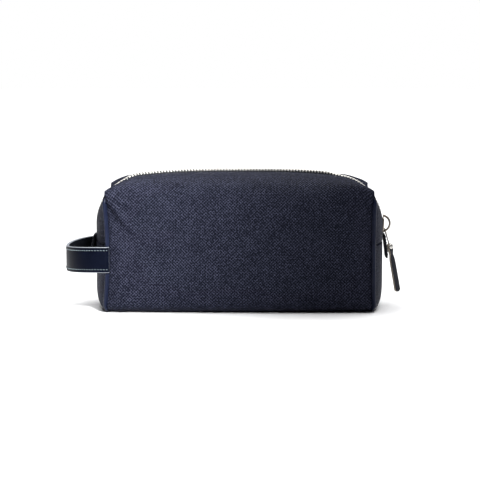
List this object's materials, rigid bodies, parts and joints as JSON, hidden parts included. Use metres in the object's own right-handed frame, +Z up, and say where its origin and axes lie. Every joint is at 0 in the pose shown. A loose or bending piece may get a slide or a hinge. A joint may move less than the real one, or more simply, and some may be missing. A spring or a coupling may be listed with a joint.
{
  "type": "shaving kit bag",
  "caption": "Boxy leather wash bag with a zip over the top and down both ends, piped end edges, a loop handle on one end and a leather zip pull.",
  "frame": {"origin": "centre of the flat base, on the surface it rests on", "axes": "+X along the bag towards the zip pull, +Y towards the back, +Z up"},
  "size_m": [0.3116, 0.117, 0.126],
  "materials": {
    "panel_leather": "cross-grained",
    "trim_leather": "smooth",
    "strap_leather": "smooth polished",
    "lining": "woven",
    "tape": "woven",
    "board": "pressed board",
    "zip_metal": "nickel plated"
  },
  "bodies": {
    "bag_body": {"front_panel": "panel_leather", "front_lining": "lining", "back_panel": "panel_leather", "back_lining": "lining", "left_end_lower": "panel_leather", "left_end_lining": "lining", "left_end_teeth": "zip_metal", "left_front_tape": "tape", "left_front_flap": "panel_leather", "left_front_flap_lining": "lining", "left_front_piping": "trim_leather", "left_back_tape": "tape", "left_back_flap": "panel_leather", "left_back_flap_lining": "lining", "left_back_piping": "trim_leather", "right_end_lower": "panel_leather", "right_end_lining": "lining", "right_end_teeth": "zip_metal", "right_front_tape": "tape", "right_front_flap": "panel_leather", "right_front_flap_lining": "lining", "right_front_piping": "trim_leather", "right_back_tape": "tape", "right_back_flap": "panel_leather", "right_back_flap_lining": "lining", "right_back_piping": "trim_leather", "base_panel": "panel_leather", "base_board": "board", "base_lining": "lining", "right_end_tab": "strap_leather"},
    "front_lip": {"front_top_panel": "panel_leather", "front_top_lining": "lining", "front_teeth": "zip_metal", "front_tape": "tape"},
    "back_lip": {"back_top_panel": "panel_leather", "back_top_lining": "lining", "back_teeth": "zip_metal", "back_tape": "tape"},
    "slider": {"slider_body": "zip_metal", "slider_lower_plate": "zip_metal"},
    "pull_link": {"pull_link": "zip_metal"},
    "leather_pull": {"leather_pull": "strap_leather", "pull_rivet": "zip_metal"},
    "handle": {"handle_strap": "strap_leather", "handle_lining": "strap_leather"},
    "left_tab": {"left_end_tab": "strap_leather"}
  },
  "joints": [
    {"name": "front_lip_open", "type": "hinge", "parent": "bag_body", "child": "front_lip", "pos_m": [0, -0.0484, 0.1142], "axis": [1, 0, 0], "range_deg": [0, 70]},
    {"name": "back_lip_open", "type": "hinge", "parent": "bag_body", "child": "back_lip", "pos_m": [0, 0.0484, 0.1142], "axis": [-1, 0, 0], "range_deg": [0, 70]},
    {"name": "zipper_run", "type": "hinge", "parent": "bag_body", "child": "slider", "pos_m": [0.0878, 0, 0.0775], "axis": [0, -1, 0], "range_deg": [0, 78]},
    {"name": "link_swing", "type": "hinge", "parent": "slider", "child": "pull_link", "pos_m": [0.1325, 0, 0.0769], "axis": [0, -1, 0], "range_deg": [0, 115]},
    {"name": "pull_swing", "type": "hinge", "parent": "pull_link", "child": "leather_pull", "pos_m": [0.1401, 0, 0.0552], "axis": [0.6345, -0.7659, 0.1042], "range_deg": [-8, 60]},
    {"name": "handle_swing", "type": "hinge", "parent": "bag_body", "child": "handle", "pos_m": [-0.1205, 0, 0.049], "axis": [0, 1, 0], "range_deg": [-20, 20], "stiffness_Nm_per_rad": 0.05},
    {"name": "left_tab_lift", "type": "hinge", "parent": "bag_body", "child": "left_tab", "pos_m": [-0.1336, 0, 0.067], "axis": [0, 1, 0], "range_deg": [0, 60]}
  ],
  "couplings": [
    {"joint": "back_lip_open", "follows": "front_lip_open", "ratio": 1}
  ]
}
